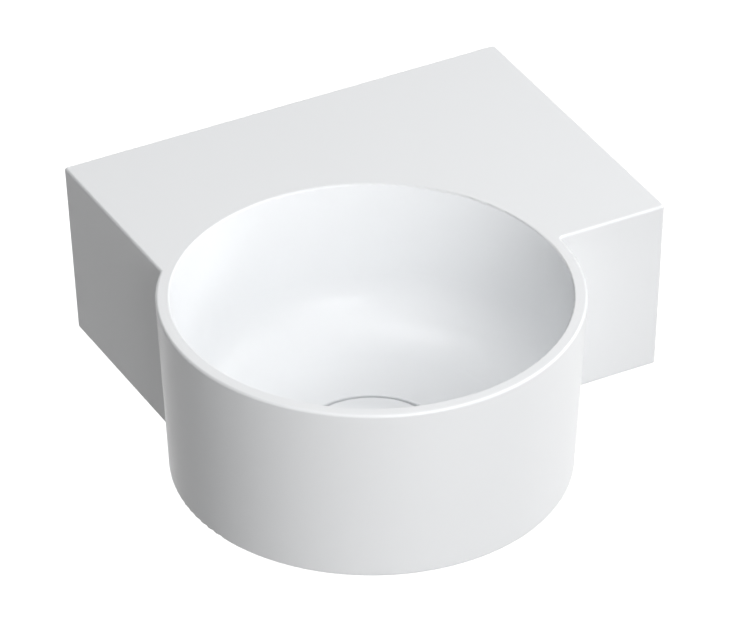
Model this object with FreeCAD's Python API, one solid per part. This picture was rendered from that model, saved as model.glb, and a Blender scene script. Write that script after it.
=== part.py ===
import FreeCAD, Part
import math
import os

# Corner basin with a round bowl, its push-open waste and its wall fixings.
# Millimetres and degrees. +Z is up, +Y points into the back wall, +X into the side wall.
# The origin lies in the back wall's plane, midway between the two fixing bolts.
# The waste is closed, as in use with water in the bowl.

V = FreeCAD.Vector
UP = V(0, 0, 1)

# Basin casting, outside
deck_length = 354.5
deck_depth = 250.0
casting_height = 140.0
bowl_radius = 151.0
bowl_from_end = 117.0
bowl_from_wall = 249.2
outside_draft = 3.0
upright_edge = 3.0
deck_edge = 2.0
foot_edge = 2.5

# Basin casting, walls
rim_wall = 10.0
skirt_wall = 8.0
back_wall = 10.0
deck_plate = 10.0
shell_wall = 8.5
seat_wall = 7.5

# Bowl inside
lip_edge = 1.5
inside_draft = 1.5
bowl_fillet = 45.0
floor_slope = 7.0
foot_below_floor = 17.5
well_radius = 52.5
well_depth = 9.5
well_edge = 1.2
well_fillet = 2.0
waste_hole_radius = 23.0

# Hollow under the deck
hollow_corner = 8.0
rib_wall = 8.0
rib_drop = 45.0
rib_edge = 3.0
boss_radius = 22.0
boss_height = 4.0
boss_taper = 3.0

# Wall fixings
fixing_spacing = 200.0
fixing_drop = 75.0
fixing_hole_radius = 9.0
bolt_radius = 5.0
bolt_in_wall = 64.0
bolt_point = 9.0
bolt_past_nut = 8.0
bolt_chamfer = 0.8
shank_radius = 4.5
shank_in_basin = 2.0
shank_in_wall = 8.0
bush_gap = 0.3
bush_sleeve = 11.0
bush_flange_radius = 15.0
bush_flange = 4.0
washer_radius = 14.0
washer_thickness = 2.0
bolt_nut_flats = 17.0
bolt_nut_height = 8.0
plug_radius = 7.0
plug_behind_tile = 10.0
plug_length = 60.0
plug_slot = 1.5
plug_slot_length = 38.0
plug_mouth = 8.0
thread_gap = 0.05

# Waste, from the well's floor down
flange_gasket_thickness = 1.5
flange_gasket_radius = 30.0
flange_radius = 32.0
flange_thickness = 2.5
flange_chamfer = 0.6
flange_land = 4.0
flange_dish = 1.6
waste_thread_radius = 20.955
waste_bore_radius = 18.6
waste_length = 68.0
nut_thread_length = 28.5
thread_relief = 3.0
thread_relief_depth = 1.0
gasket_radius = 29.0
gasket_thickness = 4.0
gasket_neck = 3.0
gasket_neck_gap = 0.4
gasket_bore_gap = 0.15
slip_washer_thickness = 1.5
back_nut_flats = 52.0
back_nut_height = 9.0
crossbar_below_flange = 18.5
crossbar_height = 6.0
crossbar_hub_wall = 3.0
crossbar_arm = 3.0
crossbar_arms = 3

# Cover, carrier and seal
push_travel = 1.5
push_clearance = 0.3
cover_gap = 3.0
cover_plate = 5.0
cover_crown = 0.8
cover_level = 2.0
cover_skirt = 3.3
cover_skirt_wall = 8.0
cover_edge = 1.2
carrier_radius = 25.0
carrier_disc = 2.0
carrier_bond = 0.1
hub_gap = 1.1
hub_wall = 3.5
hub_height = 10.8
hub_boss_radius = 6.5
hub_rib = 1.6
hub_ribs = 4
seal_section = 2.5
seal_edge = 0.4
seal_gap = 0.1
seal_below_cover = 5.8
groove_gap = 0.05

# Latching cartridge
stem_radius = 4.0
stem_in_carrier = 8.0
stem_end_gap = 0.5
locknut_flats = 13.0
locknut_height = 4.0
stem_below_locknut = 4.0
plunger_radius = 7.0
plunger_length = 26.0
plunger_chamfer = 0.6
open_travel = 9.0
spring_space = 12.0
spring_radius = 5.2
spring_wire = 0.9
spring_turns = 5.5
spring_end_gap = 0.1
spigot_gap = 0.3
spigot_height = 1.5
sleeve_gap = 0.08
sleeve_wall = 2.4
collar_flats = 22.0
collar_height = 4.0
cap_plate = 2.5

# Latch pin and the cam track that its foot runs in
pin_wire = 1.2
pin_bend = 1.2
pin_length = 15.5
pin_cover = 0.2
pin_gap = 0.2
latch_below_plunger_top = 13.5
track_depth = 1.8
track_clearance = 0.15
heart_half_width = 1.75
heart_shoulder = 2.6
heart_length = 7.2
heart_horn = 0.5

# Places that follow from the sizes
left_end = -deck_length / 2
side_wall = deck_length / 2
bowl_x = left_end + bowl_from_end
bowl_y = -bowl_from_wall
deck_z = fixing_drop
under_deck_z = deck_z - deck_plate
foot_z = deck_z - casting_height
floor_z = foot_z + foot_below_floor
well_z = floor_z - well_depth
seat_z = well_z - seat_wall
rim_inner_radius = bowl_radius - rim_wall
boss_face = -back_wall - boss_height
washer_face = boss_face - bush_flange
nut_face = washer_face - washer_thickness
bolt_end = nut_face - bolt_nut_height - bolt_past_nut
flange_under_z = well_z + flange_gasket_thickness
flange_top_z = flange_under_z + flange_thickness
cover_under_z = flange_top_z + push_travel + push_clearance
hub_radius = waste_bore_radius - hub_gap
hub_under_z = cover_under_z - hub_height
seal_z = cover_under_z - seal_below_cover
seal_radius = waste_bore_radius - seal_gap
locknut_z = hub_under_z - locknut_height
plunger_top_z = locknut_z - stem_below_locknut
plunger_under_z = plunger_top_z - plunger_length
notch_z = plunger_top_z - latch_below_plunger_top
cap_top_z = plunger_under_z - spring_space
sleeve_under_z = cap_top_z - spigot_height
crossbar_z = flange_under_z - crossbar_below_flange
sleeve_bore_radius = plunger_radius + sleeve_gap
sleeve_radius = sleeve_bore_radius + sleeve_wall
spigot_radius = spring_radius - spring_wire - spigot_gap
pin_x = sleeve_radius - pin_cover - pin_wire / 2
pin_anchor_z = notch_z - pin_length
pin_reach = plunger_radius - track_depth + pin_gap
channel = pin_wire + 2 * track_clearance


def shift(degrees, run):
    """How far a line at this angle moves sideways over the run."""
    return run * math.tan(math.radians(degrees))


def cylinder(radius, low, high):
    return Part.makeCylinder(radius, high - low, V(0, 0, low))


def ring(radius, bore, low, high):
    return cylinder(radius, low, high).cut(cylinder(bore, low, high))


def prism(corners, direction):
    """Solid swept straight along a direction from a closed outline of corners."""
    return Part.Face(Part.makePolygon(corners + corners[:1])).extrude(direction)


def rounding(before, corner, after, radius):
    """Arc that rounds a corner of an outline between its neighbours."""
    to_before = (before - corner).normalize()
    to_after = (after - corner).normalize()
    half = to_before.getAngle(to_after) / 2
    reach = radius / math.tan(half)
    inward = (to_before + to_after).normalize() * (radius / math.sin(half) - radius)
    return Part.Arc(corner + to_before * reach, corner + inward, corner + to_after * reach)


def turned(outline):
    """Solid turned about Z from a closed outline of (radius, height) corners.

    A corner's third number, where it has one, rounds it.
    """
    corners = [V(corner[0], 0, corner[1]) for corner in outline]
    edges = []
    ends = []
    for place, corner in enumerate(outline):
        here = corners[place]
        ends.append((here, here))
        if len(corner) == 3:
            after = corners[(place + 1) % len(corners)]
            arc = rounding(corners[place - 1], here, after, corner[2])
            ends[-1] = (arc.StartPoint, arc.EndPoint)
            edges.append(arc.toShape())
    for place, (start, _) in enumerate(ends):
        edges.append(Part.makeLine(ends[place - 1][1], start))
    face = Part.Face(Part.Wire(Part.sortEdges(edges)[0]))
    return face.revolve(V(0, 0, 0), UP, 360)


def hexagon(flats, low, high):
    """Hexagonal prism whose corners are turned off at both ends, as on a nut."""
    corner = flats / math.sqrt(3)
    slope = (corner - flats / 2) * math.tan(math.radians(30))
    turns = [math.radians(60 * side) for side in range(6)]
    corners = [V(corner * math.cos(turn), corner * math.sin(turn), low) for turn in turns]
    envelope = turned([
        (0, low), (flats / 2, low), (corner, low + slope),
        (corner, high - slope), (flats / 2, high), (0, high),
    ])
    return prism(corners, V(0, 0, high - low)).common(envelope)


def rounded(shape, radius, chosen):
    """Rounds the edges whose bounding boxes are chosen."""
    return shape.makeFillet(radius, [edge for edge in shape.Edges if chosen(edge.BoundBox)])


def at_height(height):
    """Chooses the edges that lie flat at one height."""
    return lambda box: abs(box.ZMin - height) < 0.01 and abs(box.ZMax - height) < 0.01


def upright(box):
    """Chooses the edges that run more up than along."""
    return box.ZLength > 2 * max(box.XLength, box.YLength)


def at_bowl(shape):
    """Moves a piece from the Z axis to the bowl's axis."""
    return shape.translated(V(bowl_x, bowl_y, 0))


# Basin casting

def deck_block(wall, back, top):
    """Deck block down to the foot, its left end and front drafted, drawn in by its walls."""
    lean_top = shift(outside_draft, deck_z - top)
    lean_foot = shift(outside_draft, casting_height)
    from_left = prism([
        V(left_end + wall + lean_top, -deck_depth, top),
        V(side_wall - wall, -deck_depth, top),
        V(side_wall - wall, -deck_depth, foot_z),
        V(left_end + wall + lean_foot, -deck_depth, foot_z),
    ], V(0, deck_depth, 0))
    from_front = prism([
        V(left_end, wall + lean_top - deck_depth, top),
        V(left_end, -back, top),
        V(left_end, -back, foot_z),
        V(left_end, wall + lean_foot - deck_depth, foot_z),
    ], V(deck_length, 0, 0))
    return from_left.common(from_front)


def bowl_skirt(wall, top):
    """Drafted round outside of the bowl, drawn in by its wall. Its seam lies in the block."""
    top_radius = bowl_radius - wall - shift(outside_draft, deck_z - top)
    foot_radius = bowl_radius - wall - shift(outside_draft, casting_height)
    cone = Part.makeCone(foot_radius, top_radius, top - foot_z, V(0, 0, foot_z))
    return at_bowl(cone.rotated(V(0, 0, 0), UP, 45))


def bowl_space(wall, under_z):
    """Space inside the bowl and its well down to a level, grown by a wall."""
    top_radius = rim_inner_radius + wall
    low_z = floor_z - wall / math.cos(math.radians(floor_slope))
    climb = shift(floor_slope, 1)
    lean = shift(inside_draft, 1)
    drop = deck_z - low_z + climb * well_radius
    corner_radius = (top_radius - lean * drop) / (1 - lean * climb)
    corner_z = low_z + climb * (corner_radius - well_radius)
    return at_bowl(turned([
        (0, deck_z), (top_radius, deck_z), (corner_radius, corner_z, bowl_fillet + wall),
        (well_radius + wall, low_z + climb * wall, well_edge),
        (well_radius + wall, under_z, well_fillet), (0, under_z),
    ]))


def rib(corner, length_x, length_y):
    """Bracing rib under the deck, with its free edge rounded."""
    low_z = deck_z - rib_drop
    web = Part.makeBox(length_x, length_y, rib_drop, V(corner.x, corner.y, low_z))
    run = max(length_x, length_y)
    return rounded(web, rib_edge, lambda box: at_height(low_z)(box) and box.DiagonalLength > 0.9 * run)


def ribs():
    """One rib ties the bowl to the back wall and one ties it to the side wall."""
    to_back = rib(V(-rib_wall / 2, bowl_y, 0), rib_wall, bowl_from_wall)
    to_side = rib(V(bowl_x, -(deck_depth + rib_wall) / 2, 0), side_wall - bowl_x, rib_wall)
    return [to_back, to_side]


def toward_wall(shape):
    """Turns a fixing from the Z axis to both bolt axes, which run along Y."""
    turned_shape = shape.rotated(V(0, 0, 0), V(1, 0, 0), -90)
    return [turned_shape.translated(V(side * fixing_spacing / 2, 0, 0)) for side in (-1, 1)]


def fixing_bosses():
    boss = turned([
        (0, boss_face), (boss_radius, boss_face),
        (boss_radius + boss_taper, -back_wall), (0, -back_wall),
    ])
    return toward_wall(boss)


def hollow():
    """Open space under the deck and round the bowl's shell, between ribs and bosses."""
    under_deck = deck_block(skirt_wall, back_wall, under_deck_z)
    under_deck = rounded(under_deck, hollow_corner, upright)
    under_deck = rounded(under_deck, hollow_corner / 2, at_height(under_deck_z))
    space = under_deck.fuse(bowl_skirt(skirt_wall, under_deck_z))
    return space.cut([bowl_space(shell_wall, seat_z)] + ribs() + fixing_bosses())


def basin_body():
    """The ceramic casting: a drafted bowl and block in one, hollow from below."""
    casting = deck_block(0, 0, deck_z).fuse(bowl_skirt(0, deck_z)).removeSplitter()
    casting = rounded(casting, upright_edge, upright)
    casting = rounded(casting, deck_edge, at_height(deck_z))
    casting = rounded(casting, foot_edge, at_height(foot_z))
    waste_hole = at_bowl(cylinder(waste_hole_radius, foot_z, well_z))
    fixing_holes = toward_wall(cylinder(fixing_hole_radius, boss_face, 0))
    casting = casting.cut([bowl_space(0, well_z), hollow(), waste_hole] + fixing_holes)
    rim = lambda box: at_height(deck_z)(box) and abs(box.XLength - 2 * rim_inner_radius) < 0.1
    return rounded(casting, lip_edge, rim)


# Wall fixings, turned about Z with the wall's plane at zero height

def hanger_bolts():
    """Studs with a metric thread in the basin, a plain shank and a wood thread in the wall."""
    bolt = turned([
        (0, bolt_end), (bolt_radius - bolt_chamfer, bolt_end),
        (bolt_radius, bolt_end + bolt_chamfer), (bolt_radius, -shank_in_basin - bolt_chamfer),
        (shank_radius, -shank_in_basin), (shank_radius, shank_in_wall),
        (bolt_radius, shank_in_wall + bolt_chamfer), (bolt_radius, bolt_in_wall - bolt_point),
        (bolt_chamfer, bolt_in_wall), (0, bolt_in_wall),
    ])
    return Part.makeCompound(toward_wall(bolt))


def wall_plugs():
    """Plugs set behind the tile and slit crosswise, so that the bolt spreads them."""
    bore = bolt_radius + thread_gap
    plug_end = plug_behind_tile + plug_length
    plug = turned([
        (0, bolt_in_wall), (bore, bolt_in_wall), (bore, plug_behind_tile),
        (plug_radius, plug_behind_tile), (plug_radius, plug_end, bolt_chamfer), (0, plug_end),
    ])
    for across, along in ((plug_slot, 2 * plug_radius), (2 * plug_radius, plug_slot)):
        corner = V(-across / 2, -along / 2, plug_behind_tile + plug_mouth)
        plug = plug.cut(Part.makeBox(across, along, plug_slot_length, corner))
    return Part.makeCompound(toward_wall(plug))


def shoulder_bushes():
    """Top-hat bushes that centre the bolt in the casting's hole."""
    sleeve = fixing_hole_radius - bush_gap
    bore = bolt_radius + bush_gap
    bush = turned([
        (bore, washer_face), (bush_flange_radius, washer_face), (bush_flange_radius, boss_face),
        (sleeve, boss_face), (sleeve, boss_face + bush_sleeve), (bore, boss_face + bush_sleeve),
    ])
    return Part.makeCompound(toward_wall(bush))


def fixing_washers():
    washer = ring(washer_radius, bolt_radius + bush_gap, nut_face, washer_face)
    return Part.makeCompound(toward_wall(washer))


def fixing_nuts():
    nut = hexagon(bolt_nut_flats, nut_face - bolt_nut_height, nut_face)
    nut = nut.cut(cylinder(bolt_radius + thread_gap, nut_face - bolt_nut_height, nut_face))
    return Part.makeCompound(toward_wall(nut))


# Waste

def waste_body():
    """Flange, threaded tail and the crossbar that holds the cartridge."""
    tail_z = flange_under_z - waste_length
    dish_z = flange_top_z - flange_dish
    relief_z = flange_under_z - nut_thread_length
    relief_radius = waste_thread_radius - thread_relief_depth
    tube = turned([
        (waste_bore_radius, tail_z), (waste_thread_radius, tail_z),
        (waste_thread_radius, relief_z - thread_relief), (relief_radius, relief_z - thread_relief),
        (relief_radius, relief_z), (waste_thread_radius, relief_z),
        (waste_thread_radius, flange_under_z), (flange_radius, flange_under_z),
        (flange_radius, flange_top_z - flange_chamfer),
        (flange_radius - flange_chamfer, flange_top_z),
        (flange_radius - flange_land, flange_top_z), (waste_bore_radius, dish_z),
    ])
    low_z = crossbar_z - crossbar_height
    bore = sleeve_radius + thread_gap
    hub = cylinder(bore + crossbar_hub_wall, low_z, crossbar_z)
    reach = (waste_bore_radius + waste_thread_radius) / 2
    arm = Part.makeBox(reach, crossbar_arm, crossbar_height, V(0, -crossbar_arm / 2, low_z))
    arms = [arm.rotated(V(0, 0, 0), UP, 360 * turn / crossbar_arms) for turn in range(crossbar_arms)]
    crossbar = hub.fuse(arms).cut(cylinder(bore, low_z, crossbar_z))
    return at_bowl(tube.fuse(crossbar).removeSplitter())


def flange_gasket():
    bore = waste_thread_radius + gasket_bore_gap
    return at_bowl(ring(flange_gasket_radius, bore, well_z, flange_under_z))


def lower_gasket():
    """Stepped rubber washer whose neck fills the casting's waste hole."""
    bore = waste_thread_radius + gasket_bore_gap
    neck = waste_hole_radius - gasket_neck_gap
    return at_bowl(turned([
        (bore, seat_z - gasket_thickness), (gasket_radius, seat_z - gasket_thickness),
        (gasket_radius, seat_z), (neck, seat_z), (neck, seat_z + gasket_neck),
        (bore, seat_z + gasket_neck),
    ]))


def slip_washer():
    top_z = seat_z - gasket_thickness
    bore = waste_thread_radius + gasket_bore_gap
    return at_bowl(ring(gasket_radius, bore, top_z - slip_washer_thickness, top_z))


def back_nut():
    top_z = seat_z - gasket_thickness - slip_washer_thickness
    nut = hexagon(back_nut_flats, top_z - back_nut_height, top_z)
    return at_bowl(nut.cut(cylinder(waste_thread_radius + thread_gap, top_z - back_nut_height, top_z)))


# Cover

def drain_cover():
    """Crowned ceramic disc with a turned-down edge and a seat for its carrier."""
    radius = well_radius - cover_gap
    top_z = cover_under_z + cover_plate
    skirt_z = cover_under_z - cover_skirt
    seat_radius = carrier_radius + carrier_bond
    seat_top_z = cover_under_z + carrier_disc + carrier_bond
    fall = math.atan(cover_crown / (radius / 2))
    crown_radius = (radius / 2 - cover_level) / math.tan(fall / 2)
    return at_bowl(turned([
        (0, seat_top_z), (seat_radius, seat_top_z), (seat_radius, cover_under_z),
        (radius - cover_skirt_wall, cover_under_z), (radius - cover_skirt_wall, skirt_z),
        (radius, skirt_z), (radius, top_z - cover_crown, cover_edge),
        (radius / 2, top_z, crown_radius), (0, top_z),
    ]))


def cover_carrier():
    """Moulded disc and hub, with ribs round the threaded boss and a groove for the seal."""
    boss_bore = stem_radius + thread_gap
    groove = seal_radius - seal_section - groove_gap
    half_groove = seal_section / 2 + groove_gap
    inside = hub_radius - hub_wall
    disc = cylinder(carrier_radius, cover_under_z, cover_under_z + carrier_disc)
    hub = ring(hub_radius, inside, hub_under_z, cover_under_z)
    boss = cylinder(hub_boss_radius, hub_under_z, cover_under_z)
    web = Part.makeBox(inside + groove_gap, hub_rib, hub_height, V(0, -hub_rib / 2, hub_under_z))
    webs = [web.rotated(V(0, 0, 0), UP, 360 * turn / hub_ribs) for turn in range(hub_ribs)]
    carrier = disc.fuse([hub, boss] + webs)
    socket = cylinder(boss_bore, hub_under_z, hub_under_z + stem_in_carrier)
    seal_groove = ring(waste_bore_radius, groove, seal_z - half_groove, seal_z + half_groove)
    return at_bowl(carrier.cut([socket, seal_groove]).removeSplitter())


def cover_seal():
    """Square-section rubber ring whose outer edges are chamfered."""
    bore = seal_radius - seal_section
    low_z = seal_z - seal_section / 2
    high_z = seal_z + seal_section / 2
    return at_bowl(turned([
        (bore, low_z), (seal_radius - seal_edge, low_z), (seal_radius, low_z + seal_edge),
        (seal_radius, high_z - seal_edge), (seal_radius - seal_edge, high_z), (bore, high_z),
    ]))


# Latching cartridge

def stem_locknut():
    nut = hexagon(locknut_flats, locknut_z, hub_under_z)
    return at_bowl(nut.cut(cylinder(stem_radius + thread_gap, locknut_z, hub_under_z)))


def facing_x(corners, low_x, high_x):
    """Prism along X from an outline of (sideways, height above the latch notch) corners."""
    return prism([V(low_x, y, notch_z + z) for y, z in corners], V(high_x - low_x, 0, 0))


def cam_track():
    """Groove round a heart-shaped island, whose notch holds the pin's foot when closed."""
    floor_x = plunger_radius - track_depth
    side = heart_half_width + channel
    top = push_travel + channel / 2 + track_clearance
    foot_room = channel / 2
    groove = facing_x([
        (-foot_room, -open_travel), (foot_room, -open_travel),
        (side, -heart_shoulder), (side, push_travel / 2), (side - foot_room, top + heart_horn),
        (foot_room / 2, top), (-foot_room, top + 2 * heart_horn), (-side, push_travel / 2),
        (-side, -heart_shoulder),
    ], floor_x, plunger_radius)
    notch = Part.makeCylinder(foot_room, track_depth, V(floor_x, 0, notch_z), V(1, 0, 0))
    groove_end = notch.translated(V(0, 0, -open_travel))
    heart = facing_x([
        (0, -heart_length), (heart_half_width, -heart_shoulder), (heart_half_width, -heart_horn),
        (foot_room + track_clearance, heart_horn), (foot_room, 0), (-foot_room, 0),
        (-foot_room - track_clearance, heart_horn), (-heart_half_width, -heart_horn),
        (-heart_half_width, -heart_shoulder),
    ], floor_x, plunger_radius).cut(notch)
    return groove.fuse(groove_end).cut(heart)


def plunger():
    """Push rod: threaded stem, guided body with its cam track, and a spigot for the spring."""
    edge = plunger_radius - plunger_chamfer
    stem_top_z = hub_under_z + stem_in_carrier - stem_end_gap
    rod = turned([
        (0, plunger_under_z - spigot_height), (spigot_radius, plunger_under_z - spigot_height),
        (spigot_radius, plunger_under_z), (edge, plunger_under_z),
        (plunger_radius, plunger_under_z + plunger_chamfer),
        (plunger_radius, plunger_top_z - plunger_chamfer), (edge, plunger_top_z),
        (stem_radius, plunger_top_z), (stem_radius, stem_top_z), (0, stem_top_z),
    ])
    return at_bowl(rod.cut(cam_track()))


def cartridge_sleeve():
    """Barrel with a hexagonal collar, a window for the pin's foot and a pocket for its swing."""
    sleeve_top_z = crossbar_z + collar_height
    barrel = cylinder(sleeve_radius, sleeve_under_z, crossbar_z)
    collar = hexagon(collar_flats, crossbar_z, sleeve_top_z)
    barrel = barrel.fuse(collar).cut(cylinder(sleeve_bore_radius, sleeve_under_z, sleeve_top_z))
    swing = heart_half_width + channel + pin_gap
    half_wire = pin_wire / 2 + pin_gap
    pocket_x = pin_x - half_wire
    window = facing_x([
        (-swing, -half_wire), (swing, -half_wire), (swing, half_wire), (-swing, half_wire),
    ], 0, sleeve_radius)
    pocket = facing_x([
        (-half_wire, -pin_length - half_wire), (half_wire, -pin_length - half_wire),
        (swing, half_wire), (-swing, half_wire),
    ], pocket_x, sleeve_radius)
    anchor = V(plunger_radius, 0, pin_anchor_z)
    anchor_hole = Part.makeCylinder(half_wire, sleeve_wall, anchor, V(1, 0, 0))
    return at_bowl(barrel.cut([window, pocket, anchor_hole]).removeSplitter())


def sleeve_cap():
    """Cap pressed into the barrel's lower end, with a spigot for the spring."""
    plate_z = sleeve_under_z - cap_plate
    bore = sleeve_bore_radius - thread_gap
    return at_bowl(turned([
        (0, plate_z), (sleeve_radius, plate_z), (sleeve_radius, sleeve_under_z),
        (bore, sleeve_under_z), (bore, cap_top_z), (spigot_radius, cap_top_z),
        (spigot_radius, cap_top_z + spigot_height), (0, cap_top_z + spigot_height),
    ]))


def bend(start, corner, end):
    """Arc from start to end, whose tangents there meet at the corner."""
    middle = (start + end) / 2
    half = (start - corner).getAngle(middle - corner)
    leg = (start - corner).Length
    toward = (middle - corner).normalize() * leg * (1 / math.cos(half) - math.tan(half))
    return Part.Arc(start, corner + toward, end).toShape()


def coil_point(turn, radius, rise):
    """Place and direction on a coil that climbs by its rise over all its turns."""
    angle = 2 * math.pi * turn
    place = V(radius * math.cos(angle), radius * math.sin(angle), rise * turn / spring_turns)
    along = V(-math.sin(angle), math.cos(angle), rise / spring_turns / (2 * math.pi * radius))
    return place, along.normalize()


def return_spring():
    """Coil spring squeezed between the cap and the plunger, two arcs to each half turn."""
    coil_radius = spring_radius - spring_wire / 2
    low_z = cap_top_z + spring_end_gap + spring_wire / 2
    rise = spring_space - 2 * spring_end_gap - spring_wire
    arcs = []
    for half_turn in range(round(2 * spring_turns)):
        start, out = coil_point(half_turn / 2, coil_radius, rise)
        end, into = coil_point((half_turn + 1) / 2, coil_radius, rise)
        chord = end - start
        ease = chord.dot(out + into)
        stretch = 2 * (1 - out.dot(into))
        reach = (math.sqrt(ease ** 2 + stretch * chord.dot(chord)) - ease) / stretch
        first_corner = start + out * reach
        second_corner = end - into * reach
        joint = (first_corner + second_corner) / 2
        arcs += [bend(start, first_corner, joint), bend(joint, second_corner, end)]
    section = Part.Wire(Part.makeCircle(spring_wire / 2, V(coil_radius, 0, 0), V(0, 1, 0)))
    coil = Part.Wire(arcs).makePipeShell([section], True, False)
    return at_bowl(coil.translated(V(0, 0, low_z)))


def latch_pin():
    """Spring wire: anchored below in the barrel, its foot above in the cam track."""
    corner = pin_bend * (1 - math.sqrt(0.5))
    tip_x = sleeve_bore_radius + pin_gap
    low = V(tip_x, 0, pin_anchor_z)
    low_bend = V(pin_x - pin_bend, 0, pin_anchor_z)
    low_mid = V(pin_x - corner, 0, pin_anchor_z + corner)
    shank_low = V(pin_x, 0, pin_anchor_z + pin_bend)
    shank_high = V(pin_x, 0, notch_z - pin_bend)
    high_mid = V(pin_x - corner, 0, notch_z - corner)
    high_bend = V(pin_x - pin_bend, 0, notch_z)
    foot = V(pin_reach, 0, notch_z)
    path = Part.Wire([
        Part.LineSegment(low, low_bend).toShape(),
        Part.Arc(low_bend, low_mid, shank_low).toShape(),
        Part.LineSegment(shank_low, shank_high).toShape(),
        Part.Arc(shank_high, high_mid, high_bend).toShape(),
        Part.LineSegment(high_bend, foot).toShape(),
    ])
    section = Part.Wire(Part.makeCircle(pin_wire / 2, low, V(1, 0, 0)))
    return at_bowl(path.makePipeShell([section], True, True))


pieces = [
    basin_body, drain_cover, cover_carrier, cover_seal, stem_locknut, plunger,
    cartridge_sleeve, sleeve_cap, return_spring, latch_pin,
    waste_body, flange_gasket, lower_gasket, slip_washer, back_nut,
    hanger_bolts, wall_plugs, shoulder_bushes, fixing_washers, fixing_nuts,
]

os.makedirs("parts", exist_ok=True)
for piece in pieces:
    piece().exportStep("parts/" + piece.__name__ + ".step")
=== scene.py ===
import math
import bmesh
import bpy
from mathutils import Matrix, Vector


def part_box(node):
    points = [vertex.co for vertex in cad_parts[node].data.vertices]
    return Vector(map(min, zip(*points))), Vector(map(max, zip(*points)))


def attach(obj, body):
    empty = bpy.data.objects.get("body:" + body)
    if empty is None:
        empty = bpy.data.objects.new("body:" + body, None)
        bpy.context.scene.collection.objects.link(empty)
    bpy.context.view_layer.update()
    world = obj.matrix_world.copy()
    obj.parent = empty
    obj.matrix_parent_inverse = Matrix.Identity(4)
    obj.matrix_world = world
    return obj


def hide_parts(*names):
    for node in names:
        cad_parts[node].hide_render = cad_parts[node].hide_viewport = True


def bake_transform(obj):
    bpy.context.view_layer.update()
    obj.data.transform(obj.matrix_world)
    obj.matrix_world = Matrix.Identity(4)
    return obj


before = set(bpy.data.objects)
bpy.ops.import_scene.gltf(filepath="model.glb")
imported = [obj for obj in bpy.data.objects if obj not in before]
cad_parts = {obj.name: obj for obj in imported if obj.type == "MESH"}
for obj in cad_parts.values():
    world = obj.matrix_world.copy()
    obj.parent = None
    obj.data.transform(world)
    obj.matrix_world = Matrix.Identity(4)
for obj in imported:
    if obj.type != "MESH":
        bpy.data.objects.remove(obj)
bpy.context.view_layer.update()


# Basin casting
# One hollow casting in vitreous china: a round bowl and the block that fits the corner.
# It is slip-cast in a plaster mould, sprayed with a gloss white glaze and fired. The ground
# foot and the back, which meets the wall, stay bare, and little glaze reaches the hollow.

glaze_white = (0.928, 0.94, 0.953, 1)
bare_china = (0.66, 0.64, 0.60, 1)
mm = 0.001
casting_low, casting_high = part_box("basin_body")
cover_low, cover_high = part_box("drain_cover")
bowl_axis = Vector((cover_low.x + cover_high.x, cover_low.y + cover_high.y, 0)) / 2
deck_depth = 250 * mm
deck_middle = 70 * mm
half_wall = 4 * mm
outside_draft = math.tan(math.radians(3))
bowl_outside = 151 * mm
bowl_inside = 139.5 * mm
bowl_fillet = 45 * mm
bowl_floor = -47.5 * mm
floor_slope = math.tan(math.radians(7))
well_radius = 52.5 * mm
well_floor = -57 * mm
bare_edge = 0.6 * mm
hollow_edge = 1 * mm
hollow_bareness = 0.55


def node(tree, kind, settings=None, **inputs):
    """Adds a node, with its settings, and its inputs as plain values or links."""
    made = tree.nodes.new("ShaderNode" + kind)
    for name, value in (settings or {}).items():
        setattr(made, name, value)
    for name, value in inputs.items():
        socket = made.inputs[name.replace("_", " ")]
        if isinstance(value, bpy.types.NodeSocket):
            tree.links.new(value, socket)
        else:
            socket.default_value = value
    return made


def maths(tree, operation, *values):
    """Adds one step of arithmetic on values or links."""
    made = tree.nodes.new("ShaderNodeMath")
    made.operation = operation
    for socket, value in zip(made.inputs, values):
        if isinstance(value, bpy.types.NodeSocket):
            tree.links.new(value, socket)
        else:
            socket.default_value = value
    return made.outputs[0]


def length_of(tree, first, second):
    """The length of a line with the given steps along two axes."""
    square = maths(tree, "MULTIPLY", second, second)
    return maths(tree, "SQRT", maths(tree, "MULTIPLY_ADD", first, first, square))


def step(tree, value, start, end):
    """0 before start and 1 after end, smooth between them."""
    made = node(tree, "MapRange", {"interpolation_type": "SMOOTHSTEP"}, Value=value)
    made.inputs["From Min"].default_value = start
    made.inputs["From Max"].default_value = end
    return made.outputs["Result"]


def mixed(tree, share, first, second):
    """A blend of two colours."""
    made = node(tree, "MixRGB", Fac=share, Color1=first, Color2=second)
    return made.outputs["Color"]


def effect(name, inputs, outputs):
    """An empty group of nodes with its named sockets."""
    group = bpy.data.node_groups.new(name, "ShaderNodeTree")
    for label, kind, value in inputs:
        socket = group.interface.new_socket(label, in_out="INPUT", socket_type="NodeSocket" + kind)
        socket.default_value = value
    for label, kind in outputs:
        group.interface.new_socket(label, in_out="OUTPUT", socket_type="NodeSocket" + kind)
    return group, group.nodes.new("NodeGroupInput").outputs, group.nodes.new("NodeGroupOutput")


def finish_of(name):
    """A new material with its node tree and its shader."""
    made = bpy.data.materials.new(name)
    made.use_nodes = True
    return made, made.node_tree, made.node_tree.nodes["Principled BSDF"]


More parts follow.
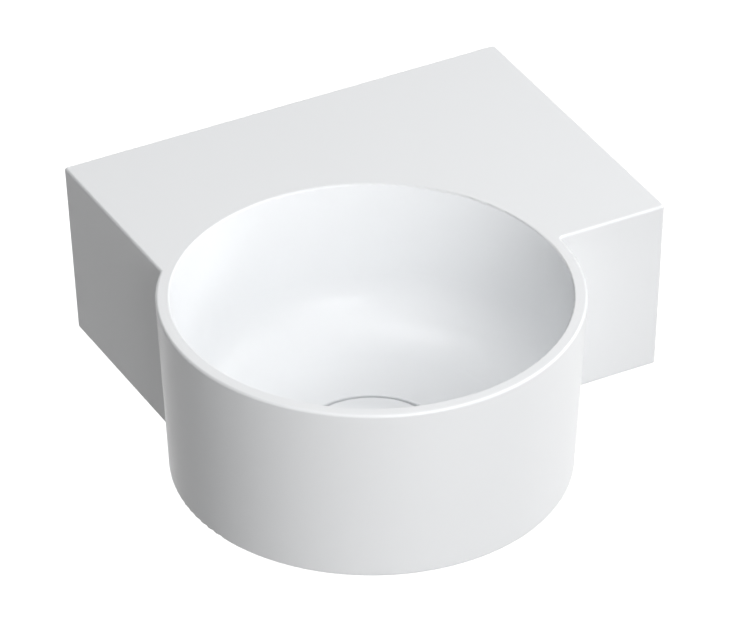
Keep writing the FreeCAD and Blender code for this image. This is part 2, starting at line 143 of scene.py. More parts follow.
# Fired and moulded skins differ a little in tone and gloss, and are never quite flat.
skin, given, put_out = effect("uneven_skin", [
    ("Color", "Color", (0.8, 0.8, 0.8, 1)), ("Tone Change", "Float", 0.05),
    ("Roughness", "Float", 0.3), ("Gloss Change", "Float", 0.05),
    ("Broad Size", "Float", 20.0), ("Broad Height", "Float", 0.0),
    ("Fine Size", "Float", 400.0), ("Fine Height", "Float", 0.0),
], [("Color", "Color"), ("Roughness", "Float"), ("Height", "Float")])
place = node(skin, "TexCoord").outputs["Object"]
broad = node(skin, "TexNoise", Vector=place, Scale=given["Broad Size"], Detail=2.0).outputs["Fac"]
fine = node(skin, "TexNoise", Vector=place, Scale=given["Fine Size"], Detail=3.0).outputs["Fac"]
broad_swing = maths(skin, "SUBTRACT", broad, 0.5)
fine_swing = maths(skin, "SUBTRACT", fine, 0.5)
shade = maths(skin, "MULTIPLY_ADD", broad_swing, given["Tone Change"], 1.0)
toned = node(skin, "VectorMath", {"operation": "SCALE"}, Scale=shade)
skin.links.new(given["Color"], toned.inputs[0])
gloss = maths(skin, "MULTIPLY_ADD", fine_swing, given["Gloss Change"], given["Roughness"])
low = maths(skin, "MULTIPLY", fine_swing, given["Fine Height"])
height = maths(skin, "MULTIPLY_ADD", broad_swing, given["Broad Height"], low)
skin.links.new(toned.outputs[0], put_out.inputs["Color"])
skin.links.new(gloss, put_out.inputs["Roughness"])
skin.links.new(height, put_out.inputs["Height"])


def with_skin(tree, color, **values):
    """Places the uneven skin with its own values."""
    made = tree.nodes.new("ShaderNodeGroup")
    made.node_tree = skin
    made.inputs["Color"].default_value = color
    for name, value in values.items():
        made.inputs[name.replace("_", " ")].default_value = value
    return made.outputs


glaze, tree, shader = finish_of("gloss_white_glaze")
glazed = with_skin(tree, glaze_white, Tone_Change=0.012, Roughness=0.31, Gloss_Change=0.03,
                   Broad_Size=14.0, Broad_Height=0.0002, Fine_Size=260.0, Fine_Height=0.000004)
bare = with_skin(tree, bare_china, Tone_Change=0.12, Roughness=0.78, Gloss_Change=0.1,
                 Broad_Size=30.0, Fine_Size=1800.0, Fine_Height=0.00005)
place = node(tree, "SeparateXYZ", Vector=node(tree, "TexCoord").outputs["Object"]).outputs
at_foot = step(tree, place["Z"], casting_low.z + bare_edge, casting_low.z)
at_wall = step(tree, place["Y"], casting_high.y - bare_edge, casting_high.y)

# The hollow's mask ends inside the ceramic: in the middle of the outer walls and the deck's plate,
# and a little way out from the bowl's inside, a drafted round with a wide fillet and a well.
lean = maths(tree, "MULTIPLY", maths(tree, "SUBTRACT", casting_high.z, place["Z"]), outside_draft)
past_left = maths(tree, "ADD", place["X"], casting_high.x - half_wall)
past_front = maths(tree, "ADD", place["Y"], deck_depth - half_wall)
before_right = maths(tree, "SUBTRACT", casting_high.x - half_wall, place["X"])
before_back = maths(tree, "SUBTRACT", casting_high.y - half_wall, place["Y"])
drafted = maths(tree, "SUBTRACT", maths(tree, "MINIMUM", past_left, past_front), lean)
upright = maths(tree, "MINIMUM", before_right, before_back)
in_block = maths(tree, "MINIMUM", drafted, upright)
off_x = maths(tree, "SUBTRACT", place["X"], bowl_axis.x)
off_y = maths(tree, "SUBTRACT", place["Y"], bowl_axis.y)
off_axis = length_of(tree, off_x, off_y)
skirt_radius = maths(tree, "SUBTRACT", bowl_outside - half_wall, lean)
in_skirt = maths(tree, "SUBTRACT", skirt_radius, off_axis)
past_wall = maths(tree, "SUBTRACT", off_axis, bowl_inside - bowl_fillet)
floor_centre = bowl_floor + bowl_fillet - well_radius * floor_slope
floor_height = maths(tree, "MULTIPLY_ADD", off_axis, floor_slope, floor_centre)
past_floor = maths(tree, "SUBTRACT", floor_height, place["Z"])
corner_x = maths(tree, "MAXIMUM", past_wall, 0.0)
corner_z = maths(tree, "MAXIMUM", past_floor, 0.0)
corner = length_of(tree, corner_x, corner_z)
inner = maths(tree, "MINIMUM", maths(tree, "MAXIMUM", past_wall, past_floor), 0.0)
past_bowl = maths(tree, "SUBTRACT", maths(tree, "ADD", corner, inner), bowl_fillet)
past_well = maths(tree, "MAXIMUM", maths(tree, "SUBTRACT", off_axis, well_radius),
                  maths(tree, "SUBTRACT", well_floor, place["Z"]))
past_shell = maths(tree, "SUBTRACT", maths(tree, "MINIMUM", past_bowl, past_well), half_wall)
under_deck = maths(tree, "SUBTRACT", deck_middle, place["Z"])
inside = maths(tree, "MINIMUM", maths(tree, "MAXIMUM", in_block, in_skirt),
               maths(tree, "MINIMUM", past_shell, under_deck))
in_hollow = maths(tree, "MULTIPLY", step(tree, inside, 0.0, hollow_edge), hollow_bareness)
unglazed = maths(tree, "MAXIMUM", maths(tree, "MAXIMUM", at_foot, at_wall), in_hollow)
tree.links.new(mixed(tree, unglazed, glazed["Color"], bare["Color"]), shader.inputs["Base Color"])
rough = node(tree, "Mix", {"data_type": "FLOAT"}, Factor=unglazed)
tree.links.new(glazed["Roughness"], rough.inputs["A"])
tree.links.new(bare["Roughness"], rough.inputs["B"])
tree.links.new(rough.outputs["Result"], shader.inputs["Roughness"])
relief = node(tree, "Mix", {"data_type": "FLOAT"}, Factor=unglazed)
tree.links.new(glazed["Height"], relief.inputs["A"])
tree.links.new(bare["Height"], relief.inputs["B"])
bump = node(tree, "Bump", Height=relief.outputs["Result"], Distance=1.0)
tree.links.new(bump.outputs["Normal"], shader.inputs["Normal"])
shader.inputs["IOR"].default_value = 1.5
shader.inputs["Specular IOR Level"].default_value = 0.35

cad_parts["basin_body"].material_slots[0].material = glaze


# Waste body
# The waste's brass body: a dished flange that sits in the well, a threaded tail below the
# casting and a crossbar that carries the cartridge. It is turned, threaded and chrome plated.

over_bowl = Matrix.Translation(bowl_axis)
full_turn = 2 * math.pi
chrome_tone = (0.58, 0.59, 0.60, 1)
tail_z = -123.5
tail_top_z = -55.5
relief_z = (-87.0, -84.0)
relief_radius = 19.955
tail_radius = 20.955
tail_root = 19.476
tail_pitch = 2.309
tail_wall = 19.4
tail_bore = 18.6
tube_inset = 0.15
thread_inside = 19.1
chamfer_radius = 19.7
chamfer_rise = 0.8
run_out = 0.9
flange_radius = 32.0
flange_top_z = -53.0
flange_chamfer = 0.6
land_radius = 28.0
dish_edge = (20.6, -54.3)
mouth_z = -55.4
crossbar_z = (-80.0, -74.0)
hub_bore = 9.55
hub_radius = 12.5
arm_middle = 15.5
arm_size = (8.0, 3.0)
arm_count = 3


def spun(outline, closed=False, segments=96):
    """A skin turned about Z from (radius, height) places."""
    skin = bmesh.new()
    places = [skin.verts.new((radius * mm, 0, height * mm)) for radius, height in outline]
    edges = [skin.edges.new(pair) for pair in zip(places, places[1:])]
    if closed:
        edges.append(skin.edges.new((places[-1], places[0])))
    bmesh.ops.spin(skin, geom=places + edges, axis=(0, 0, 1), angle=full_turn,
                   steps=segments, use_merge=True)
    bmesh.ops.remove_doubles(skin, verts=skin.verts, dist=1e-7)
    bmesh.ops.recalc_face_normals(skin, faces=skin.faces)
    return skin


def ring(bore, radius, low, high, segments=96):
    """A ring with a square-cornered section."""
    return spun([(bore, low), (radius, low), (radius, high), (bore, high)], closed=True,
                segments=segments)


def eased(skin, width, least_angle=30, segments=2):
    """Rounds the sharp edges of a skin a little."""
    sharp = [edge for edge in skin.edges
             if edge.is_manifold and edge.calc_face_angle() > math.radians(least_angle)]
    bmesh.ops.bevel(skin, geom=sharp, offset=width * mm, segments=segments, profile=0.5,
                    affect="EDGES", material=-1, clamp_overlap=True)
    return skin


def screwed(outline, pitch, low, high, steps=40):
    """An open skin with a screw thread between two heights.

    The outline is one pitch of the thread, in (radius, share of the pitch) places.
    """
    skin = bmesh.new()
    turns = math.ceil((high - low) / pitch) + 1
    places = [skin.verts.new((radius * mm, 0, (low - pitch + share * pitch) * mm))
              for radius, share in outline]
    edges = [skin.edges.new(pair) for pair in zip(places, places[1:])]
    bmesh.ops.spin(skin, geom=places + edges, axis=(0, 0, 1), angle=full_turn * turns,
                   steps=steps * turns, dvec=(0, 0, pitch * mm / steps))
    bmesh.ops.remove_doubles(skin, verts=skin.verts, dist=1e-6)
    for level, way in ((low, -1), (high, 1)):
        bmesh.ops.bisect_plane(skin, geom=skin.verts[:] + skin.edges[:] + skin.faces[:],
                               plane_co=(0, 0, level * mm), plane_no=(0, 0, way), clear_outer=True)
    return skin


def kept_within(skin, least, most):
    """Keeps a thread between two radii that change with height, as at a chamfer or a run-out."""
    for vert in skin.verts:
        height = vert.co.z / mm
        out = vert.co.xy.length / mm
        wanted = min(max(out, least(height)), most(height))
        vert.co.x *= wanted / out
        vert.co.y *= wanted / out


def drawn_on(skin, level, outline):
    """Carries the open edge at a level on through (radius, height) places."""
    rim = [edge for edge in skin.edges
           if edge.is_boundary and all(abs(vert.co.z - level * mm) < 1e-6 for vert in edge.verts)]
    for radius, height in outline:
        grown = bmesh.ops.extrude_edge_only(skin, edges=rim)["geom"]
        for vert in grown:
            if isinstance(vert, bmesh.types.BMVert):
                out = vert.co.xy.normalized() * radius * mm
                vert.co = (out.x, out.y, height * mm)
        rim = [edge for edge in grown if isinstance(edge, bmesh.types.BMEdge)]
    return rim


def sealed(skin):
    """Merges a skin's doubles and turns its faces outwards."""
    bmesh.ops.remove_doubles(skin, verts=skin.verts, dist=1e-6)
    bmesh.ops.dissolve_degenerate(skin, edges=skin.edges, dist=1e-7)
    bmesh.ops.recalc_face_normals(skin, faces=skin.faces)
    return skin


def joined(*skins):
    """Several skins in one."""
    whole = skins[0]
    for skin in skins[1:]:
        part = bpy.data.meshes.new("part")
        skin.to_mesh(part)
        whole.from_mesh(part)
        bpy.data.meshes.remove(part)
        skin.free()
    return whole


def fitted(skin, name, finish, body, stands_for, place=over_bowl):
    """Puts a skin in the scene as the piece that stands for a node of the frame."""
    bmesh.ops.transform(skin, matrix=place, verts=skin.verts)
    mesh = bpy.data.meshes.new(name)
    skin.to_mesh(mesh)
    skin.free()
    mesh.materials.append(finish)
    mesh.shade_smooth()
    mesh.set_sharp_from_angle(angle=math.radians(32))
    piece = bpy.data.objects.new(name, mesh)
    bpy.context.scene.collection.objects.link(piece)
    if body:
        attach(piece, body)
    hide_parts(stands_for)
    return piece


# A lathe leaves fine rings round a piece's axis.
lathe, given, put_out = effect("lathe_rings", [
    ("Place", "Vector", (0, 0, 0)), ("Fineness", "Float", 3000.0),
    ("Depth", "Float", 0.00001), ("Gloss Change", "Float", 0.1),
], [("Height", "Float"), ("Gloss", "Float")])
at = node(lathe, "SeparateXYZ", Vector=given["Place"]).outputs
round_place = node(lathe, "CombineXYZ", X=length_of(lathe, at["X"], at["Y"]), Y=at["Z"])
rings = node(lathe, "TexNoise", Vector=round_place.outputs[0], Scale=given["Fineness"], Detail=2.0)
swing = maths(lathe, "SUBTRACT", rings.outputs["Fac"], 0.5)
lathe.links.new(maths(lathe, "MULTIPLY", swing, given["Depth"]), put_out.inputs["Height"])
lathe.links.new(maths(lathe, "MULTIPLY", swing, given["Gloss Change"]), put_out.inputs["Gloss"])


def with_rings(tree, place, **values):
    """Places the lathe's rings round an axis with its own values."""
    made = tree.nodes.new("ShaderNodeGroup")
    made.node_tree = lathe
    tree.links.new(place, made.inputs["Place"])
    for name, value in values.items():
        made.inputs[name.replace("_", " ")].default_value = value
    return made.outputs


def about_bowl_axis(tree):
    """Object coordinates from the bowl's axis."""
    moved = node(tree, "Mapping", Vector=node(tree, "TexCoord").outputs["Object"])
    moved.inputs["Location"].default_value = -bowl_axis
    return moved.outputs[0]


def laid_on(tree, shader, skin_values, ring_values=None):
    """Joins a skin, and lathe rings where there are some, to a shader."""
    rough = skin_values["Roughness"]
    relief = skin_values["Height"]
    if ring_values:
        rough = maths(tree, "ADD", rough, ring_values["Gloss"])
        relief = maths(tree, "ADD", relief, ring_values["Height"])
    tree.links.new(skin_values["Color"], shader.inputs["Base Color"])
    tree.links.new(rough, shader.inputs["Roughness"])
    tree.links.new(node(tree, "Bump", Height=relief, Distance=1.0).outputs[0], shader.inputs["Normal"])


chrome, tree, shader = finish_of("polished_chrome")
shader.inputs["Metallic"].default_value = 1.0
plated = with_skin(tree, chrome_tone, Tone_Change=0.04, Roughness=0.09, Gloss_Change=0.08,
                   Broad_Size=60.0, Fine_Size=900.0, Fine_Height=0.000002)
laid_on(tree, shader, plated, with_rings(tree, about_bowl_axis(tree), Fineness=2600.0,
                                         Depth=0.000003, Gloss_Change=0.06))

pipe_form = [(tail_root, 0.0), (tail_root, 0.08), (tail_radius, 0.46), (tail_radius, 0.56),
             (tail_root, 0.94), (tail_root, 1.0)]


def tail_crest(height):
    """The tail's crests rise from the chamfer at its end and fall at the relief."""
    return min(tail_radius, chamfer_radius + chamfer_rise * (height - tail_z),
               tail_root + run_out * (relief_z[0] - height))


def upper_crest(height):
    """The upper thread's crests rise from the relief."""
    return min(tail_radius, tail_root + run_out * (height - relief_z[1]))


lower = screwed(pipe_form, tail_pitch, tail_z, relief_z[0], steps=56)
kept_within(lower, lambda height: tail_root, tail_crest)
upper = screwed(pipe_form, tail_pitch, relief_z[1], tail_top_z, steps=56)
kept_within(upper, lambda height: tail_root, upper_crest)
for thread, low, high in ((lower, tail_z, relief_z[0]), (upper, relief_z[1], tail_top_z)):
    ends = drawn_on(thread, low, [(thread_inside, low)])
    ends += drawn_on(thread, high, [(thread_inside, high)])
    bmesh.ops.bridge_loops(thread, edges=ends)
    sealed(thread)
tail_end_z = tail_z + tube_inset
tube = eased(spun([
    (tail_bore, tail_end_z), (tail_wall, tail_end_z), (tail_wall, relief_z[0]),
    (relief_radius, relief_z[0]), (relief_radius, relief_z[1]), (tail_wall, relief_z[1]),
    (tail_wall, tail_top_z), (flange_radius, tail_top_z),
    (flange_radius, flange_top_z - flange_chamfer), (flange_radius - flange_chamfer, flange_top_z),
    (land_radius, flange_top_z), dish_edge, (tail_bore, mouth_z),
], closed=True), width=0.25)
hub = eased(ring(hub_bore, hub_radius, *crossbar_z, segments=64), width=0.4)
arms = bmesh.new()
arm_place = Matrix.Translation(Vector((arm_middle, 0, sum(crossbar_z) / 2)) * mm)
arm_form = Matrix.Diagonal(Vector((*arm_size, crossbar_z[1] - crossbar_z[0])) * mm).to_4x4()
for arm in range(arm_count):
    about_axis = Matrix.Rotation(full_turn * arm / arm_count, 4, "Z")
    bmesh.ops.create_cube(arms, size=1, matrix=about_axis @ arm_place @ arm_form)
eased(arms, width=0.4)
fitted(joined(tube, lower, upper, hub, arms), "waste_tail_and_flange", chrome, "basin",
       "waste_body")


# Gaskets
# Three rubber rings: a flat one under the waste's flange, a stepped one that fills the casting's
# hole from below, and a square one in the cover's groove. They are moulded and stay matt.

rubber_tone = (0.030, 0.030, 0.032, 1)
bore_gap = 0.15
ring_bore = tail_radius + bore_gap
well_floor_z = well_floor / mm
flange_ring_radius = 30.0
casting_hole_z = -61.5
casting_under_z = -64.5
neck_radius = 22.6
washer_radius = 29.0
washer_z = -68.5
seal_bore = 16.0
seal_radius = 18.5
seal_z = (-58.25, -55.75)
seal_edge = 0.4
rubber, tree, shader = finish_of("black_rubber")
shader.inputs["Specular IOR Level"].default_value = 0.35
moulded = with_skin(tree, rubber_tone, Tone_Change=0.5, Roughness=0.68, Gloss_Change=0.14,
                    Broad_Size=90.0, Broad_Height=0.00003, Fine_Size=2400.0, Fine_Height=0.00003)
laid_on(tree, shader, moulded)

flange_ring = ring(ring_bore, flange_ring_radius, well_floor_z, tail_top_z)
eased(flange_ring, width=0.35, segments=3)
fitted(flange_ring, "flange_washer", rubber, "basin", "flange_gasket")
stepped_ring = eased(spun([
    (ring_bore, washer_z), (washer_radius, washer_z), (washer_radius, casting_under_z),
    (neck_radius, casting_under_z), (neck_radius, casting_hole_z), (ring_bore, casting_hole_z),
], closed=True), width=0.5, segments=3)
fitted(stepped_ring, "stepped_washer", rubber, "basin", "lower_gasket")
groove_ring = eased(spun([
    (seal_bore, seal_z[0]), (seal_radius - seal_edge, seal_z[0]), (seal_radius, seal_z[0] + seal_edge),
    (seal_radius, seal_z[1] - seal_edge), (seal_radius - seal_edge, seal_z[1]), (seal_bore, seal_z[1]),
], closed=True), width=0.15)
fitted(groove_ring, "cover_ring", rubber, "plug", "cover_seal")


# Slip washer and back nut
# A smooth plastic washer lets the nut turn against the rubber. The nut is cut from hexagonal
# brass bar, chamfered on both faces, and left as turned.

washer_white = (0.80, 0.80, 0.76, 1)
brass_tone = (0.74, 0.53, 0.24, 1)
slip_washer_z = -70.0
smooth_plastic, tree, shader = finish_of("washer_plastic")
pressed = with_skin(tree, washer_white, Tone_Change=0.05, Roughness=0.40, Gloss_Change=0.10,
                    Broad_Size=50.0, Broad_Height=0.00002, Fine_Size=1600.0, Fine_Height=0.000008)
laid_on(tree, shader, pressed)

slip_ring = eased(ring(ring_bore, washer_radius, slip_washer_z, washer_z), width=0.3)
fitted(slip_ring, "slip_ring", smooth_plastic, "basin", "slip_washer")

brass, tree, shader = finish_of("turned_brass")
shader.inputs["Metallic"].default_value = 1.0
cut = with_skin(tree, brass_tone, Tone_Change=0.22, Roughness=0.30, Gloss_Change=0.16,
                Broad_Size=110.0, Fine_Size=1300.0, Fine_Height=0.000004)
laid_on(tree, shader, cut, with_rings(tree, about_bowl_axis(tree), Fineness=2200.0,
                                      Depth=0.000022, Gloss_Change=0.22))


def merged_copy(node_name):
    """A merged copy of a node's mesh, its flat faces whole."""
    skin = bmesh.new()
    skin.from_mesh(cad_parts[node_name].data)
    bmesh.ops.remove_doubles(skin, verts=skin.verts, dist=1e-6)
    bmesh.ops.dissolve_limit(skin, angle_limit=math.radians(1), verts=skin.verts, edges=skin.edges)
    return skin


def eased_copy(node_name, name, finish, body, width):
    """Stands a copy with rounded edges for a node."""
    skin = eased(merged_copy(node_name), width)
    return fitted(skin, name, finish, body, node_name, Matrix())


eased_copy("back_nut", "tail_nut", brass, "basin", width=0.35)


# Cartridge
# The latching cartridge: a barrel screwed into the crossbar, a cap pressed into its lower end and
# a plunger with a heart-shaped cam track. All three are moulded in white acetal.

acetal_white = (0.83, 0.83, 0.80, 1)
acetal, tree, shader = finish_of("white_acetal")
moulded = with_skin(tree, acetal_white, Tone_Change=0.05, Roughness=0.36, Gloss_Change=0.12,
                    Broad_Size=120.0, Broad_Height=0.00002, Fine_Size=2200.0, Fine_Height=0.000006)
laid_on(tree, shader, moulded)
eased_copy("cartridge_sleeve", "barrel", acetal, "basin", width=0.2)
eased_copy("sleeve_cap", "barrel_cap", acetal, "basin", width=0.3)
eased_copy("plunger", "push_rod", acetal, "plug", width=0.12)


# Return spring
# A coil of hard-drawn wire between the cap and the plunger, closed at both ends. In the real waste it
# lengthens as the cover rises; here it is one fixed coil, joined to no body.

steel_grey = (0.60, 0.60, 0.61, 1)
wire, tree, shader = finish_of("spring_wire")
shader.inputs["Metallic"].default_value = 1.0
drawn = with_skin(tree, steel_grey, Tone_Change=0.18, Roughness=0.26, Gloss_Change=0.16,
                  Broad_Size=240.0, Fine_Size=3200.0, Fine_Height=0.000004)
laid_on(tree, shader, drawn)

wire_radius = 0.45
coil_radius = 4.75
coil_low_z = -107.45
coil_rise = 10.9
closed_turns = 0.75
open_turns = 4.0
closed_pitch = 1.0
open_pitch = (coil_rise - 2 * closed_turns * closed_pitch) / open_turns
steps_a_turn = 40
stretches = ((closed_turns, closed_pitch), (open_turns, open_pitch), (closed_turns, closed_pitch))
coil = bmesh.new()
wire_start = Matrix.Translation(Vector((coil_radius, 0, coil_low_z)) * mm)
wire_turn = Matrix.Rotation(math.pi / 2, 4, "X")
bmesh.ops.create_circle(coil, segments=12, radius=wire_radius * mm, cap_ends=True,
                        matrix=wire_start @ wire_turn)
section = coil.faces[:]
for turns, pitch in stretches:
    start = section
    steps = round(steps_a_turn * turns)
    wound = bmesh.ops.spin(coil, geom=start, axis=(0, 0, 1), angle=full_turn * turns, steps=steps,
                           dvec=(0, 0, pitch * turns * mm / steps))["geom_last"]
    section = [part for part in wound if isinstance(part, bmesh.types.BMFace)]
    # The section between two stretches lies inside the wire, so it goes.
    if len(start[0].edges[0].link_faces) > 2:
        bmesh.ops.delete(coil, geom=start, context="FACES_ONLY")
spring = fitted(sealed(coil), "coil", wire, None, "return_spring")
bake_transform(spring)


# Latch pin
# A bent spring wire, anchored in a hole in the barrel. Its foot rides in the plunger's cam track
# and holds the cover down until it is pushed again.

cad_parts["latch_pin"].material_slots[0].material = wire


# Cover carrier
# A moulded disc bonded under the cover, with a ribbed hub that the push rod screws into. It is
# dark grey, with the fine texture of its mould.

carrier_grey = (0.055, 0.058, 0.062, 1)
carrier_plastic, tree, shader = finish_of("grey_carrier_plastic")
textured = with_skin(tree, carrier_grey, Tone_Change=0.16, Roughness=0.46, Gloss_Change=0.12,
                     Broad_Size=80.0, Broad_Height=0.00002, Fine_Size=3800.0, Fine_Height=0.00003)
laid_on(tree, shader, textured)
eased_copy("cover_carrier", "carrier", carrier_plastic, "plug", width=0.25)


# Stem locknut
# A thin hexagonal nut of turned brass. It runs on the push rod's thread and locks the rod in the
# carrier once the cover's height is set.

eased_copy("stem_locknut", "locknut", brass, "plug", width=0.2)


# Drain cover
# The round ceramic cover, glazed as the basin is. It lies just above the well and is pushed down
# to open.

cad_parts["drain_cover"].material_slots[0].material = glaze


# Wall plugs
# Two nylon plugs set deep in the wall behind the tiles. Each is slit crosswise between a round
# mouth and a round tip, and its saw-tooth rings grip the hole as the bolt spreads it.

nylon_grey = (0.30, 0.31, 0.32, 1)
bolt_spacing = 200.0
plug_mouth = (10.0, 18.0)
plug_tip = (56.0, 70.0)
plug_radius = 7.0
plug_bore = 5.1
bore_end = 64.0
tip_full = (60.0, 67.5)
tip_radius = 5.4
tooth_radius = 6.2
tooth_pitch = 3.8
tooth_back = 0.8
leg_in_mouth = 0.5
leg_start = plug_mouth[1] - leg_in_mouth
leg_count = 4
slit = 1.5
nylon, tree, shader = finish_of("grey_nylon")
moulded = with_skin(tree, nylon_grey, Tone_Change=0.10, Roughness=0.50, Gloss_Change=0.14,
                    Broad_Size=70.0, Broad_Height=0.00003, Fine_Size=2600.0, Fine_Height=0.000015)
laid_on(tree, shader, moulded)


def at_both_bolts(skin):
    """Turns a fixing from the Z axis to both bolts, which point into the wall along Y."""
    first_bolt = Matrix.Translation((-bolt_spacing / 2 * mm, 0, 0))
    into_wall = Matrix.Rotation(-math.pi / 2, 4, "X")
    bmesh.ops.transform(skin, matrix=first_bolt @ into_wall, verts=skin.verts)
    second = bmesh.ops.duplicate(skin, geom=skin.verts[:] + skin.edges[:] + skin.faces[:])["geom"]
    second = [part for part in second if isinstance(part, bmesh.types.BMVert)]
    bmesh.ops.translate(skin, verts=second, vec=(bolt_spacing * mm, 0, 0))
    return skin


mouth = eased(ring(plug_bore, plug_radius, *plug_mouth, segments=48), width=0.3)
tip = eased(spun([
    (0, bore_end), (plug_bore, bore_end), (plug_bore, plug_tip[0]), (tooth_radius, plug_tip[0]),
    (plug_radius, tip_full[0]), (plug_radius, tip_full[1]), (tip_radius, plug_tip[1]),
    (0, plug_tip[1]),
], segments=48), width=0.3)
teeth = [(plug_bore, leg_start)]
tooth_z = leg_start
while tooth_z < plug_tip[0]:
    teeth.append((tooth_radius, tooth_z))
    teeth.append((plug_radius, tooth_z + tooth_pitch - tooth_back))
    teeth.append((tooth_radius, tooth_z + tooth_pitch))
    tooth_z += tooth_pitch
teeth.append((plug_bore, tooth_z))
legs = bmesh.new()
beside_slit = math.asin(slit / 2 / plug_radius)
leg_sweep = full_turn / leg_count - 2 * beside_slit
for leg in range(leg_count):
    start = Matrix.Rotation(full_turn * leg / leg_count + beside_slit, 4, "Z")
    places = [legs.verts.new(start @ Vector((radius * mm, 0, height * mm))) for radius, height in teeth]
    flank = legs.faces.new(places)
    bmesh.ops.spin(legs, geom=[flank], axis=(0, 0, 1), angle=leg_sweep, steps=10)
plugs = joined(mouth, sealed(tip), sealed(legs))
fitted(at_both_bolts(plugs), "expanding_plugs", nylon, "basin", "wall_plugs", Matrix())


# Hanger bolts
# Two steel studs that hold the basin. Each has a machine thread in the basin, a plain shank where
# it crosses the wall's face, and a coarse pointed thread in the plug. They are zinc plated.

zinc_tone = (0.66, 0.67, 0.69, 1)
bolt_end_z = -36.0
shank_z = (-2.0, 8.0)
point_z = (55.0, 64.0)
halves_meet = 3.0
halves_overlap = 0.1
shank_radius = 4.5
thread_radius = 5.0
end_radius = 4.1
run_up = 0.5
run_down = 0.4
point_radius = 0.25
point_cut = 0.3
machine_pitch = 1.5
machine_root = 4.08
coarse_pitch = 4.2
coarse_root = 3.7
zinc, tree, shader = finish_of("zinc_plate")
shader.inputs["Metallic"].default_value = 1.0
plated = with_skin(tree, zinc_tone, Tone_Change=0.20, Roughness=0.30, Gloss_Change=0.22,
                   Broad_Size=150.0, Fine_Size=1400.0, Fine_Height=0.000006)
seen = node(tree, "SeparateXYZ", Vector=node(tree, "TexCoord").outputs["Object"]).outputs
from_bolt = maths(tree, "SUBTRACT", maths(tree, "ABSOLUTE", seen["X"]), bolt_spacing / 2 * mm)
along_bolt = node(tree, "CombineXYZ", X=from_bolt, Y=seen["Z"], Z=seen["Y"])
laid_on(tree, shader, plated, with_rings(tree, along_bolt.outputs[0], Fineness=2600.0,
                                         Depth=0.000012, Gloss_Change=0.12))

machine_form = [(machine_root, 0.0), (machine_root, 0.08), (thread_radius, 0.44),
                (thread_radius, 0.56), (machine_root, 0.92), (machine_root, 1.0)]
coarse_form = [(coarse_root, 0.0), (coarse_root, 0.60), (thread_radius, 0.78),
               (thread_radius, 0.82), (coarse_root, 1.0)]


def machine_root_at(height):
    """The machine thread's root runs out into the shank."""
    return max(machine_root, shank_radius - run_down * (shank_z[0] - height))


def machine_crest_at(height):
    """The machine thread's crest rises from the bolt's chamfered end and falls to the shank."""
    return min(thread_radius, end_radius + height - bolt_end_z,
               shank_radius + run_up * (shank_z[0] - height))


def coarse_root_at(height):
    """The coarse thread's root starts from the shank."""
    return max(coarse_root, shank_radius - run_down * (height - shank_z[1]))


def coarse_crest_at(height):
    """The coarse thread's crest rises from the shank and falls to the point."""
    taper = (thread_radius - point_radius) / (point_z[1] - point_z[0])
    return min(thread_radius, shank_radius + run_up * (height - shank_z[1]),
               point_radius + taper * (point_z[1] - height))


machine = screwed(machine_form, machine_pitch, bolt_end_z, shank_z[0])
kept_within(machine, machine_root_at, machine_crest_at)
drawn_on(machine, bolt_end_z, [(0, bolt_end_z)])
shank_end = [(shank_radius, shank_z[0]), (shank_radius, halves_meet), (0, halves_meet)]
drawn_on(machine, shank_z[0], shank_end)
coarse_end = point_z[1] - point_cut
coarse_start = halves_meet - halves_overlap
coarse = screwed(coarse_form, coarse_pitch, shank_z[1], coarse_end)
kept_within(coarse, coarse_root_at, coarse_crest_at)
shank_start = [(shank_radius, shank_z[1]), (shank_radius, coarse_start), (0, coarse_start)]
drawn_on(coarse, shank_z[1], shank_start)
drawn_on(coarse, coarse_end, [(0, point_z[1])])
studs = joined(sealed(machine), sealed(coarse))
fitted(at_both_bolts(studs), "hanger_studs", zinc, "basin", "hanger_bolts", Matrix())


# Shoulder bushes
# Two moulded bushes. Their sleeves centre the bolts in the casting's holes, and their flanges
# keep the steel washers off the glaze.

bolt_hole = 5.3
bush_flange_radius = 15.0
bush_flange_z = (-18.0, -14.0)
sleeve_radius = 8.7
sleeve_end_z = -3.0
bush = eased(spun([
    (bolt_hole, bush_flange_z[0]), (bush_flange_radius, bush_flange_z[0]),
    (bush_flange_radius, bush_flange_z[1]), (sleeve_radius, bush_flange_z[1]),
    (sleeve_radius, sleeve_end_z), (bolt_hole, sleeve_end_z),
], closed=True), width=0.5, segments=3)
fitted(at_both_bolts(bush), "top_hat_bushes", smooth_plastic, "basin",
       "shoulder_bushes", Matrix())


# Fixing washers and nuts
# Steel washers, with one edge rolled over by the press, and hexagonal steel nuts. Both are zinc
# plated. The nuts draw the casting against the wall.

disc_radius = 14.0
disc_z = -20.0
rolled_edge = (0.7, 0.5)
disc = spun([
    (bolt_hole, disc_z), (disc_radius - rolled_edge[0], disc_z), (disc_radius, disc_z + rolled_edge[1]),
    (disc_radius, bush_flange_z[0]), (bolt_hole, bush_flange_z[0]),
], closed=True)
fitted(at_both_bolts(eased(disc, width=0.15)), "pressed_washers", zinc, "basin",
       "fixing_washers", Matrix())
eased_copy("fixing_nuts", "hexagon_nuts", zinc, "basin", width=0.3)


# Floor
# A plain pale floor, about a metre below the rim. It keeps the basin's shadow and glows, so that
# the camera sees it white, a little more where the lamps' light fades out. From below it is clear.

floor_level = -0.92
floor_half = 14.0
floor_grey = (0.5, 0.5, 0.5, 1)
lamplit_out_to = 1.5
unlit_from = 6.0
lamplit_glow = 0.82
sheet = bmesh.new()
bmesh.ops.create_grid(sheet, x_segments=1, y_segments=1, size=floor_half,
                      matrix=Matrix.Translation((0, 0, floor_level)))
floor_mesh = bpy.data.meshes.new("floor")
sheet.to_mesh(floor_mesh)
sheet.free()
floor = bpy.data.objects.new("floor", floor_mesh)
bpy.context.scene.collection.objects.link(floor)


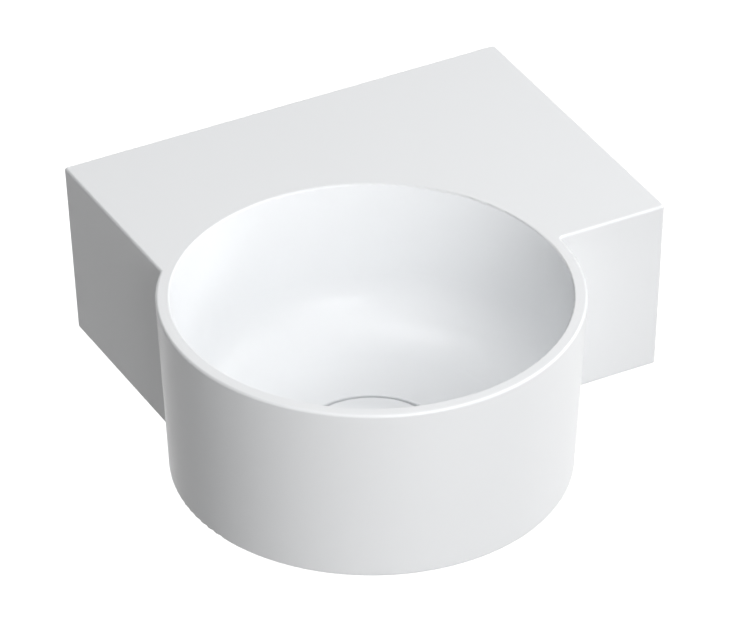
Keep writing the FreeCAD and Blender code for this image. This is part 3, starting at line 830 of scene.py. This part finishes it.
def looked_at(tree):
    """1 for the camera's rays and for those that a gloss or glass sends on, and 0 for the rest."""
    rays = node(tree, "LightPath").outputs
    direct = maths(tree, "MAXIMUM", rays["Is Camera Ray"], rays["Is Glossy Ray"])
    return maths(tree, "MAXIMUM", direct, rays["Is Transmission Ray"])


pale, tree, shader = finish_of("pale_floor")
shader.inputs["Base Color"].default_value = floor_grey
shader.inputs["Roughness"].default_value = 1.0
shader.inputs["Specular IOR Level"].default_value = 0.0
centre = node(tree, "TexCoord").outputs["Object"]
reach = node(tree, "VectorMath", {"operation": "LENGTH"}, Vector=centre).outputs["Value"]
unlit = step(tree, reach, lamplit_out_to, unlit_from)
glow = maths(tree, "MULTIPLY_ADD", unlit, 1.0 - lamplit_glow, lamplit_glow)
strength = maths(tree, "MULTIPLY", looked_at(tree), glow)
white = node(tree, "Emission", Color=(1, 1, 1, 1), Strength=strength)
lit = node(tree, "AddShader")
tree.links.new(shader.outputs[0], lit.inputs[0])
tree.links.new(white.outputs[0], lit.inputs[1])
through = node(tree, "BsdfTransparent")
one_sided = node(tree, "MixShader", Fac=node(tree, "NewGeometry").outputs["Backfacing"])
tree.links.new(lit.outputs[0], one_sided.inputs[1])
tree.links.new(through.outputs[0], one_sided.inputs[2])
tree.links.new(one_sided.outputs[0], tree.nodes["Material Output"].inputs["Surface"])
floor_mesh.materials.append(pale)


# Backdrop
# A white studio backdrop all round. It shows behind the basin and in reflections, and leaves the
# lighting to the lamps.

world = bpy.data.worlds.new("studio")
bpy.context.scene.world = world
world.use_nodes = True
tree = world.node_tree
backdrop = tree.nodes["Background"]
backdrop.inputs["Color"].default_value = (1, 1, 1, 1)
tree.links.new(looked_at(tree), backdrop.inputs["Strength"])


# Lamps
# Six large square softboxes, aimed at the bowl. Two in front, one over the left side, two to the
# right and one behind give soft, even light with the block's left face in shade.

aim = Vector((-0.02, -0.2, 0.0))


def softbox(name, toward, distance, side, power):
    """A square lamp on a line from the basin, facing it."""
    lamp = bpy.data.lights.new(name, "AREA")
    lamp.shape = "SQUARE"
    lamp.size = side
    lamp.energy = power
    holder = bpy.data.objects.new(name, lamp)
    bpy.context.scene.collection.objects.link(holder)
    holder.location = aim + Vector(toward).normalized() * distance
    holder.rotation_mode = "QUATERNION"
    holder.rotation_quaternion = Vector(toward).to_track_quat("Z", "Y")


softbox("front", toward=(-0.15, -1.0, 0.3), distance=3.0, side=1.5, power=46)
softbox("front_high", toward=(0.0, -1.0, 1.2), distance=3.0, side=2.2, power=26)
softbox("left_above", toward=(-1.0, 0.0, 4.0), distance=3.0, side=1.6, power=24)
softbox("right_low", toward=(1.0, 0.1, 0.55), distance=3.0, side=1.0, power=34)
softbox("right_high", toward=(1.0, -0.3, 0.87), distance=3.0, side=1.4, power=15)
softbox("behind", toward=(0.2, 1.0, -0.2), distance=2.4, side=1.6, power=16)


# Camera
# The photograph's view, from the front left and above. The long lens keeps the perspective as weak
# as it is there.

camera_place = Vector((-1.84915, -3.56637, 2.58100))
camera_target = Vector((-0.06768, -0.25483, 0.06224))
camera_roll = math.radians(-0.092)
camera_data = bpy.data.cameras.new("camera")
camera_data.sensor_width = 36.0
camera_data.lens = 319.2
camera_data.clip_end = 60.0
camera = bpy.data.objects.new("camera", camera_data)
bpy.context.scene.collection.objects.link(camera)
camera.location = camera_place
level_turn = (camera_target - camera_place).to_track_quat("-Z", "Y")
camera.rotation_mode = "QUATERNION"
camera.rotation_quaternion = level_turn @ Matrix.Rotation(camera_roll, 3, "Z").to_quaternion()
bpy.context.scene.camera = camera
bpy.context.scene.view_settings.view_transform = "Standard"
